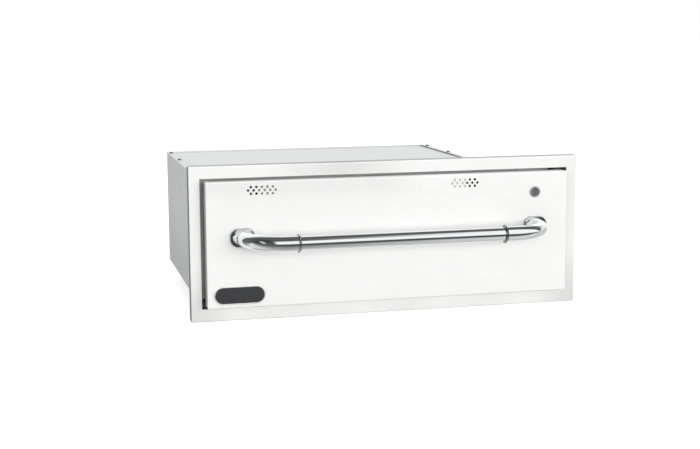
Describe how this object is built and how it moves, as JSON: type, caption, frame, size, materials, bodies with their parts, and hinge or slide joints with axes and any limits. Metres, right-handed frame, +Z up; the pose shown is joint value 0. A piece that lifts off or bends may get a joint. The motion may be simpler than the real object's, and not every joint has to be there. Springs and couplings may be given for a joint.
{
  "type": "warming drawer",
  "caption": "Built-in electric warming drawer: trimmed steel body, insulated drawer with a tubular pull handle, sliding vents, sight lamp, lift-out food pan, telescopic slides and heater.",
  "frame": {"origin": "centre of the trim frame, in the plane of the cabinet's face that the trim's back lies on", "axes": "+X to the user's right, +Y backwards into the cabinet, +Z up; the drawer opens along -Y"},
  "size_m": [0.762, 0.6115, 0.2914],
  "materials": {
    "brushed_stainless": "satin",
    "galvanised_steel": "satin",
    "liner_steel": "satin",
    "zinc_plated": "satin",
    "ball_steel": "polished",
    "polished_chrome": "polished",
    "shutter_steel": "polished",
    "badge_dark": "satin",
    "clear_rod": "gloss",
    "glass_wool": "matte",
    "silicone_rubber": "matte",
    "element_sheath": "matte",
    "ceramic": "matte",
    "control_body": "matte",
    "bulb_copper": "satin",
    "knob_black": "satin",
    "shaft_brass": "satin",
    "dial_print": "satin",
    "wire_sleeve": "matte",
    "gland_black": "matte",
    "lamp_body": "matte",
    "lamp_red": "gloss"
  },
  "bodies": {
    "chassis": {"trim_frame": "brushed_stainless", "face_plate": "brushed_stainless", "side_panel_left": "galvanised_steel", "side_panel_right": "galvanised_steel", "top_panel": "galvanised_steel", "bottom_panel": "galvanised_steel", "back_panel": "galvanised_steel", "panel_screws": "zinc_plated", "corner_bumpers": "silicone_rubber", "cavity_liner": "liner_steel", "insulation_wrap": "glass_wool", "insulation_slabs": "glass_wool", "heating_element": "element_sheath", "element_bushings": "ceramic", "element_brackets": "zinc_plated", "slide_outer_left": "zinc_plated", "slide_outer_right": "zinc_plated", "chassis_rivets": "zinc_plated", "control_box": "galvanised_steel", "control_box_cover": "galvanised_steel", "cover_screws": "zinc_plated", "thermostat": "control_body", "dial_plate": "dial_print", "thermostat_bulb": "bulb_copper", "limit_switch": "control_body", "terminal_block": "ceramic", "lead_wires": "wire_sleeve", "cable_gland": "gland_black", "pilot_lamp": "lamp_body", "pilot_lens": "lamp_red"},
    "drawer": {"drawer_front": "brushed_stainless", "front_liner": "brushed_stainless", "front_insulation": "glass_wool", "front_gasket": "silicone_rubber", "shutter_guides": "galvanised_steel", "handle_bar": "polished_chrome", "handle_elbow_left": "polished_chrome", "handle_elbow_right": "polished_chrome", "handle_collars": "polished_chrome", "handle_bases": "polished_chrome", "handle_bolts": "zinc_plated", "handle_backing_plates": "galvanised_steel", "badge_rim": "polished_chrome", "badge_plate": "badge_dark", "sight_ring": "polished_chrome", "sight_glass": "clear_rod", "drawer_tub": "liner_steel", "food_pan": "liner_steel", "wire_rack": "polished_chrome", "slide_inner_left": "zinc_plated", "slide_inner_right": "zinc_plated", "tub_rivets": "zinc_plated"},
    "slide_middle_left": {"slide_middle_left": "zinc_plated"},
    "slide_middle_right": {"slide_middle_right": "zinc_plated"},
    "outer_ball_cages": {"ball_cages_outer": "ball_steel"},
    "inner_ball_cages": {"ball_cages_inner": "ball_steel"},
    "vent_shutter_left": {"vent_shutter_left": "shutter_steel"},
    "vent_shutter_right": {"vent_shutter_right": "shutter_steel"},
    "thermostat_knob": {"thermostat_knob": "knob_black", "thermostat_shaft": "shaft_brass"}
  },
  "joints": [
    {"name": "drawer_slide", "type": "slide", "parent": "chassis", "child": "drawer", "axis": [0, -1, 0], "range_m": [0, 0.38]},
    {"name": "slide_middle_left_run", "type": "slide", "parent": "chassis", "child": "slide_middle_left", "axis": [0, -1, 0], "range_m": [0, 0.19]},
    {"name": "slide_middle_right_run", "type": "slide", "parent": "chassis", "child": "slide_middle_right", "axis": [0, -1, 0], "range_m": [0, 0.19]},
    {"name": "outer_balls_run", "type": "slide", "parent": "chassis", "child": "outer_ball_cages", "axis": [0, -1, 0], "range_m": [0, 0.095]},
    {"name": "inner_balls_run", "type": "slide", "parent": "chassis", "child": "inner_ball_cages", "axis": [0, -1, 0], "range_m": [0, 0.285]},
    {"name": "left_vent_slide", "type": "slide", "parent": "drawer", "child": "vent_shutter_left", "axis": [1, 0, 0], "range_m": [-0.0222, 0.0378]},
    {"name": "right_vent_slide", "type": "slide", "parent": "drawer", "child": "vent_shutter_right", "axis": [-1, 0, 0], "range_m": [-0.0273, 0.0327]},
    {"name": "thermostat_turn", "type": "hinge", "parent": "chassis", "child": "thermostat_knob", "pos_m": [0.2859, 0.022, -0.012], "axis": [0, 1, 0], "range_deg": [0, 270]}
  ],
  "couplings": [
    {"joint": "slide_middle_left_run", "follows": "drawer_slide", "ratio": 0.5},
    {"joint": "slide_middle_right_run", "follows": "drawer_slide", "ratio": 0.5},
    {"joint": "outer_balls_run", "follows": "drawer_slide", "ratio": 0.25},
    {"joint": "inner_balls_run", "follows": "drawer_slide", "ratio": 0.75}
  ]
}
